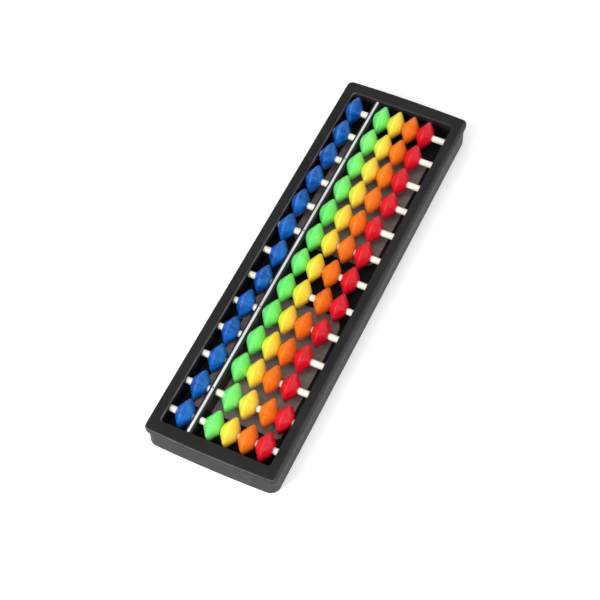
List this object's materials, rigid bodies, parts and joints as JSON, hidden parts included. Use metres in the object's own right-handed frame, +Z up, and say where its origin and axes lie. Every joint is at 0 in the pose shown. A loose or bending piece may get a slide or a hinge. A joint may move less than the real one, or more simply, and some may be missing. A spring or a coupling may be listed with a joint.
{
  "type": "abacus",
  "caption": "Desk abacus: a black frame whose rods carry sliding beads, one per rod above a beam and the rest below it.",
  "frame": {"origin": "middle of the underside, on the plane the abacus rests on", "axes": "+X along the long side towards rod 1, +Y across the beam from the earth deck (four beads a rod) to the heaven deck (one bead a rod), +Z up out of the open face"},
  "size_m": [0.2456, 0.0718, 0.0204],
  "materials": {
    "frame_black": "black moulded plastic with a fine satin texture",
    "rod_cream": "smooth cream plastic rod",
    "bead_blue": "glossy blue plastic",
    "bead_green": "glossy green plastic",
    "bead_yellow": "glossy yellow plastic",
    "bead_orange": "glossy orange plastic",
    "bead_red": "glossy red plastic"
  },
  "bodies": {
    "frame": {"top_frame": "frame_black", "base_tray": "frame_black", "rod_rack": "rod_cream"},
    "heaven_bead_01": {"heaven_bead_01": "bead_blue"},
    "earth_beads_01_1_2": {"earth_beads_01_1_2": "bead_green"},
    "earth_bead_01_3": {"earth_bead_01_3": "bead_orange"},
    "earth_bead_01_4": {"earth_bead_01_4": "bead_red"},
    "heaven_bead_02": {"heaven_bead_02": "bead_blue"},
    "earth_beads_02_1_2": {"earth_beads_02_1_2": "bead_green"},
    "earth_bead_02_3": {"earth_bead_02_3": "bead_orange"},
    "earth_bead_02_4": {"earth_bead_02_4": "bead_red"},
    "heaven_bead_03": {"heaven_bead_03": "bead_blue"},
    "earth_beads_03_1_2": {"earth_beads_03_1_2": "bead_green"},
    "earth_bead_03_3": {"earth_bead_03_3": "bead_orange"},
    "earth_bead_03_4": {"earth_bead_03_4": "bead_red"},
    "heaven_bead_04": {"heaven_bead_04": "bead_blue"},
    "earth_bead_04_1": {"earth_bead_04_1": "bead_green"},
    "earth_bead_04_2": {"earth_bead_04_2": "bead_yellow"},
    "earth_bead_04_3": {"earth_bead_04_3": "bead_orange"},
    "earth_bead_04_4": {"earth_bead_04_4": "bead_red"},
    "heaven_bead_05": {"heaven_bead_05": "bead_blue"},
    "earth_beads_05_1_2": {"earth_beads_05_1_2": "bead_green"},
    "earth_bead_05_3": {"earth_bead_05_3": "bead_orange"},
    "earth_bead_05_4": {"earth_bead_05_4": "bead_red"},
    "heaven_bead_06": {"heaven_bead_06": "bead_blue"},
    "earth_bead_06_1": {"earth_bead_06_1": "bead_green"},
    "earth_bead_06_2": {"earth_bead_06_2": "bead_yellow"},
    "earth_bead_06_3": {"earth_bead_06_3": "bead_orange"},
    "earth_bead_06_4": {"earth_bead_06_4": "bead_red"},
    "heaven_bead_07": {"heaven_bead_07": "bead_blue"},
    "earth_beads_07_1_2": {"earth_beads_07_1_2": "bead_green"},
    "earth_bead_07_3": {"earth_bead_07_3": "bead_orange"},
    "earth_bead_07_4": {"earth_bead_07_4": "bead_red"},
    "heaven_bead_08": {"heaven_bead_08": "bead_blue"},
    "earth_bead_08_1": {"earth_bead_08_1": "bead_green"},
    "earth_bead_08_2": {"earth_bead_08_2": "bead_yellow"},
    "earth_bead_08_3": {"earth_bead_08_3": "bead_orange"},
    "earth_bead_08_4": {"earth_bead_08_4": "bead_red"},
    "heaven_bead_09": {"heaven_bead_09": "bead_blue"},
    "earth_bead_09_1": {"earth_bead_09_1": "bead_green"},
    "earth_bead_09_2": {"earth_bead_09_2": "bead_yellow"},
    "earth_bead_09_3": {"earth_bead_09_3": "bead_orange"},
    "earth_bead_09_4": {"earth_bead_09_4": "bead_red"},
    "heaven_bead_10": {"heaven_bead_10": "bead_blue"},
    "earth_beads_10_1_2": {"earth_beads_10_1_2": "bead_green"},
    "earth_bead_10_3": {"earth_bead_10_3": "bead_orange"},
    "earth_bead_10_4": {"earth_bead_10_4": "bead_red"},
    "heaven_bead_11": {"heaven_bead_11": "bead_blue"},
    "earth_beads_11_1_2": {"earth_beads_11_1_2": "bead_green"},
    "earth_bead_11_3": {"earth_bead_11_3": "bead_orange"},
    "earth_bead_11_4": {"earth_bead_11_4": "bead_red"},
    "heaven_bead_12": {"heaven_bead_12": "bead_blue"},
    "earth_bead_12_1": {"earth_bead_12_1": "bead_green"},
    "earth_bead_12_2": {"earth_bead_12_2": "bead_yellow"},
    "earth_beads_12_3_4": {"earth_beads_12_3_4": "bead_orange"},
    "heaven_bead_13": {"heaven_bead_13": "bead_blue"},
    "earth_bead_13_1": {"earth_bead_13_1": "bead_green"},
    "earth_bead_13_2": {"earth_bead_13_2": "bead_yellow"},
    "earth_bead_13_3": {"earth_bead_13_3": "bead_orange"},
    "earth_bead_13_4": {"earth_bead_13_4": "bead_red"}
  },
  "joints": [
    {"name": "heaven_bead_01_slide", "type": "slide", "parent": "frame", "child": "heaven_bead_01", "axis": [0, 1, 0], "range_m": [-0.00395, 0.0001]},
    {"name": "earth_beads_01_1_2_slide", "type": "slide", "parent": "frame", "child": "earth_beads_01_1_2", "axis": [0, -1, 0], "range_m": [-0.00005, 0.0073]},
    {"name": "earth_bead_01_3_slide", "type": "slide", "parent": "earth_beads_01_1_2", "child": "earth_bead_01_3", "axis": [0, 1, 0], "range_m": [-0.0073, 0.00005]},
    {"name": "heaven_bead_02_slide", "type": "slide", "parent": "frame", "child": "heaven_bead_02", "axis": [0, 1, 0], "range_m": [-0.00365, 0.0004]},
    {"name": "earth_beads_02_1_2_slide", "type": "slide", "parent": "frame", "child": "earth_beads_02_1_2", "axis": [0, -1, 0], "range_m": [-0.00005, 0.0073]},
    {"name": "earth_bead_02_3_slide", "type": "slide", "parent": "earth_beads_02_1_2", "child": "earth_bead_02_3", "axis": [0, 1, 0], "range_m": [-0.0073, 0.00005]},
    {"name": "heaven_bead_03_slide", "type": "slide", "parent": "frame", "child": "heaven_bead_03", "axis": [0, 1, 0], "range_m": [-0.00365, 0.0004]},
    {"name": "earth_beads_03_1_2_slide", "type": "slide", "parent": "frame", "child": "earth_beads_03_1_2", "axis": [0, -1, 0], "range_m": [-0.00015, 0.0072]},
    {"name": "earth_bead_03_3_slide", "type": "slide", "parent": "earth_beads_03_1_2", "child": "earth_bead_03_3", "axis": [0, 1, 0], "range_m": [-0.0072, 0.00005]},
    {"name": "heaven_bead_04_slide", "type": "slide", "parent": "frame", "child": "heaven_bead_04", "axis": [0, 1, 0], "range_m": [-0.00395, 0.0001]},
    {"name": "earth_bead_04_1_slide", "type": "slide", "parent": "frame", "child": "earth_bead_04_1", "axis": [0, -1, 0], "range_m": [-0.00015, 0.0061]},
    {"name": "earth_bead_04_3_slide", "type": "slide", "parent": "earth_bead_04_1", "child": "earth_bead_04_3", "axis": [0, 1, 0], "range_m": [-0.0061, 0.00045]},
    {"name": "heaven_bead_05_slide", "type": "slide", "parent": "frame", "child": "heaven_bead_05", "axis": [0, 1, 0], "range_m": [-0.004, 0.00005]},
    {"name": "earth_beads_05_1_2_slide", "type": "slide", "parent": "frame", "child": "earth_beads_05_1_2", "axis": [0, -1, 0], "range_m": [-0.00005, 0.0072]},
    {"name": "earth_bead_05_3_slide", "type": "slide", "parent": "earth_beads_05_1_2", "child": "earth_bead_05_3", "axis": [0, 1, 0], "range_m": [-0.0072, 0.00005]},
    {"name": "heaven_bead_06_slide", "type": "slide", "parent": "frame", "child": "heaven_bead_06", "axis": [0, 1, 0], "range_m": [-0.00345, 0.0006]},
    {"name": "earth_bead_06_1_slide", "type": "slide", "parent": "frame", "child": "earth_bead_06_1", "axis": [0, -1, 0], "range_m": [-0.00015, 0.0055]},
    {"name": "earth_bead_06_3_slide", "type": "slide", "parent": "earth_bead_06_1", "child": "earth_bead_06_3", "axis": [0, 1, 0], "range_m": [-0.0055, 0.00085]},
    {"name": "heaven_bead_07_slide", "type": "slide", "parent": "frame", "child": "heaven_bead_07", "axis": [0, 1, 0], "range_m": [-0.00005, 0.004]},
    {"name": "earth_beads_07_1_2_slide", "type": "slide", "parent": "frame", "child": "earth_beads_07_1_2", "axis": [0, -1, 0], "range_m": [-0.00005, 0.0052]},
    {"name": "earth_bead_07_3_slide", "type": "slide", "parent": "earth_beads_07_1_2", "child": "earth_bead_07_3", "axis": [0, 1, 0], "range_m": [-0.0052, 0.00045]},
    {"name": "heaven_bead_08_slide", "type": "slide", "parent": "frame", "child": "heaven_bead_08", "axis": [0, 1, 0], "range_m": [-0.00035, 0.0037]},
    {"name": "earth_bead_08_1_slide", "type": "slide", "parent": "frame", "child": "earth_bead_08_1", "axis": [0, -1, 0], "range_m": [-0.00015, 0.0034]},
    {"name": "earth_bead_08_3_slide", "type": "slide", "parent": "earth_bead_08_1", "child": "earth_bead_08_3", "axis": [0, 1, 0], "range_m": [-0.0034, 0.00315]},
    {"name": "heaven_bead_09_slide", "type": "slide", "parent": "frame", "child": "heaven_bead_09", "axis": [0, 1, 0], "range_m": [-0.00175, 0.0023]},
    {"name": "earth_bead_09_1_slide", "type": "slide", "parent": "frame", "child": "earth_bead_09_1", "axis": [0, -1, 0], "range_m": [-0.00055, 0.0055]},
    {"name": "earth_bead_09_3_slide", "type": "slide", "parent": "earth_bead_09_1", "child": "earth_bead_09_3", "axis": [0, 1, 0], "range_m": [-0.0055, 0.00035]},
    {"name": "heaven_bead_10_slide", "type": "slide", "parent": "frame", "child": "heaven_bead_10", "axis": [0, 1, 0], "range_m": [-0.00145, 0.0026]},
    {"name": "earth_beads_10_1_2_slide", "type": "slide", "parent": "frame", "child": "earth_beads_10_1_2", "axis": [0, -1, 0], "range_m": [-0.00015, 0.0071]},
    {"name": "earth_bead_10_3_slide", "type": "slide", "parent": "earth_beads_10_1_2", "child": "earth_bead_10_3", "axis": [0, 1, 0], "range_m": [-0.0071, 0.00005]},
    {"name": "heaven_bead_11_slide", "type": "slide", "parent": "frame", "child": "heaven_bead_11", "axis": [0, 1, 0], "range_m": [-0.00025, 0.0038]},
    {"name": "earth_beads_11_1_2_slide", "type": "slide", "parent": "frame", "child": "earth_beads_11_1_2", "axis": [0, -1, 0], "range_m": [-0.00025, 0.0059]},
    {"name": "earth_bead_11_3_slide", "type": "slide", "parent": "earth_beads_11_1_2", "child": "earth_bead_11_3", "axis": [0, 1, 0], "range_m": [-0.0059, 0.00005]},
    {"name": "heaven_bead_12_slide", "type": "slide", "parent": "frame", "child": "heaven_bead_12", "axis": [0, 1, 0], "range_m": [-0.00105, 0.003]},
    {"name": "earth_bead_12_1_slide", "type": "slide", "parent": "frame", "child": "earth_bead_12_1", "axis": [0, -1, 0], "range_m": [-0.00405, 0.0007]},
    {"name": "earth_beads_12_3_4_slide", "type": "slide", "parent": "earth_bead_12_1", "child": "earth_beads_12_3_4", "axis": [0, 1, 0], "range_m": [-0.0007, 0.00215]},
    {"name": "heaven_bead_13_slide", "type": "slide", "parent": "frame", "child": "heaven_bead_13", "axis": [0, 1, 0], "range_m": [-0.00035, 0.0037]},
    {"name": "earth_bead_13_1_slide", "type": "slide", "parent": "frame", "child": "earth_bead_13_1", "axis": [0, -1, 0], "range_m": [-0.00295, 0.0025]},
    {"name": "earth_bead_13_3_slide", "type": "slide", "parent": "earth_bead_13_1", "child": "earth_bead_13_3", "axis": [0, 1, 0], "range_m": [-0.0025, 0.00085]},
    {"name": "earth_bead_01_4_slide", "type": "slide", "parent": "earth_beads_01_1_2", "child": "earth_bead_01_4", "axis": [0, 1, 0], "range_m": [-0.0073, 0.00005]},
    {"name": "earth_bead_02_4_slide", "type": "slide", "parent": "earth_beads_02_1_2", "child": "earth_bead_02_4", "axis": [0, 1, 0], "range_m": [-0.0073, 0.00005]},
    {"name": "earth_bead_03_4_slide", "type": "slide", "parent": "earth_beads_03_1_2", "child": "earth_bead_03_4", "axis": [0, 1, 0], "range_m": [-0.0072, 0.00005]},
    {"name": "earth_bead_04_2_slide", "type": "slide", "parent": "frame", "child": "earth_bead_04_2", "axis": [0, -1, 0], "range_m": [-0.00015, 0.0061]},
    {"name": "earth_bead_04_4_slide", "type": "slide", "parent": "earth_bead_04_1", "child": "earth_bead_04_4", "axis": [0, 1, 0], "range_m": [-0.0061, 0.00045]},
    {"name": "earth_bead_05_4_slide", "type": "slide", "parent": "earth_beads_05_1_2", "child": "earth_bead_05_4", "axis": [0, 1, 0], "range_m": [-0.0072, 0.00005]},
    {"name": "earth_bead_06_2_slide", "type": "slide", "parent": "frame", "child": "earth_bead_06_2", "axis": [0, -1, 0], "range_m": [-0.00015, 0.0055]},
    {"name": "earth_bead_06_4_slide", "type": "slide", "parent": "earth_bead_06_1", "child": "earth_bead_06_4", "axis": [0, 1, 0], "range_m": [-0.0055, 0.00085]},
    {"name": "earth_bead_07_4_slide", "type": "slide", "parent": "earth_beads_07_1_2", "child": "earth_bead_07_4", "axis": [0, 1, 0], "range_m": [-0.0052, 0.00045]},
    {"name": "earth_bead_08_2_slide", "type": "slide", "parent": "frame", "child": "earth_bead_08_2", "axis": [0, -1, 0], "range_m": [-0.00015, 0.0034]},
    {"name": "earth_bead_08_4_slide", "type": "slide", "parent": "earth_bead_08_1", "child": "earth_bead_08_4", "axis": [0, 1, 0], "range_m": [-0.0034, 0.00315]},
    {"name": "earth_bead_09_2_slide", "type": "slide", "parent": "frame", "child": "earth_bead_09_2", "axis": [0, -1, 0], "range_m": [-0.00055, 0.0055]},
    {"name": "earth_bead_09_4_slide", "type": "slide", "parent": "earth_bead_09_1", "child": "earth_bead_09_4", "axis": [0, 1, 0], "range_m": [-0.0055, 0.00035]},
    {"name": "earth_bead_10_4_slide", "type": "slide", "parent": "earth_beads_10_1_2", "child": "earth_bead_10_4", "axis": [0, 1, 0], "range_m": [-0.0071, 0.00005]},
    {"name": "earth_bead_11_4_slide", "type": "slide", "parent": "earth_beads_11_1_2", "child": "earth_bead_11_4", "axis": [0, 1, 0], "range_m": [-0.0059, 0.00005]},
    {"name": "earth_bead_12_2_slide", "type": "slide", "parent": "frame", "child": "earth_bead_12_2", "axis": [0, -1, 0], "range_m": [-0.00405, 0.0007]},
    {"name": "earth_bead_13_2_slide", "type": "slide", "parent": "frame", "child": "earth_bead_13_2", "axis": [0, -1, 0], "range_m": [-0.00295, 0.0025]},
    {"name": "earth_bead_13_4_slide", "type": "slide", "parent": "earth_bead_13_1", "child": "earth_bead_13_4", "axis": [0, 1, 0], "range_m": [-0.0025, 0.00085]}
  ],
  "couplings": [
    {"joint": "earth_bead_01_4_slide", "follows": "earth_bead_01_3_slide", "ratio": 1},
    {"joint": "earth_bead_02_4_slide", "follows": "earth_bead_02_3_slide", "ratio": 1},
    {"joint": "earth_bead_03_4_slide", "follows": "earth_bead_03_3_slide", "ratio": 1},
    {"joint": "earth_bead_04_2_slide", "follows": "earth_bead_04_1_slide", "ratio": 1},
    {"joint": "earth_bead_04_4_slide", "follows": "earth_bead_04_3_slide", "ratio": 1},
    {"joint": "earth_bead_05_4_slide", "follows": "earth_bead_05_3_slide", "ratio": 1},
    {"joint": "earth_bead_06_2_slide", "follows": "earth_bead_06_1_slide", "ratio": 1},
    {"joint": "earth_bead_06_4_slide", "follows": "earth_bead_06_3_slide", "ratio": 1},
    {"joint": "earth_bead_07_4_slide", "follows": "earth_bead_07_3_slide", "ratio": 1},
    {"joint": "earth_bead_08_2_slide", "follows": "earth_bead_08_1_slide", "ratio": 1},
    {"joint": "earth_bead_08_4_slide", "follows": "earth_bead_08_3_slide", "ratio": 1},
    {"joint": "earth_bead_09_2_slide", "follows": "earth_bead_09_1_slide", "ratio": 1},
    {"joint": "earth_bead_09_4_slide", "follows": "earth_bead_09_3_slide", "ratio": 1},
    {"joint": "earth_bead_10_4_slide", "follows": "earth_bead_10_3_slide", "ratio": 1},
    {"joint": "earth_bead_11_4_slide", "follows": "earth_bead_11_3_slide", "ratio": 1},
    {"joint": "earth_bead_12_2_slide", "follows": "earth_bead_12_1_slide", "ratio": 1},
    {"joint": "earth_bead_13_2_slide", "follows": "earth_bead_13_1_slide", "ratio": 1},
    {"joint": "earth_bead_13_4_slide", "follows": "earth_bead_13_3_slide", "ratio": 1}
  ]
}
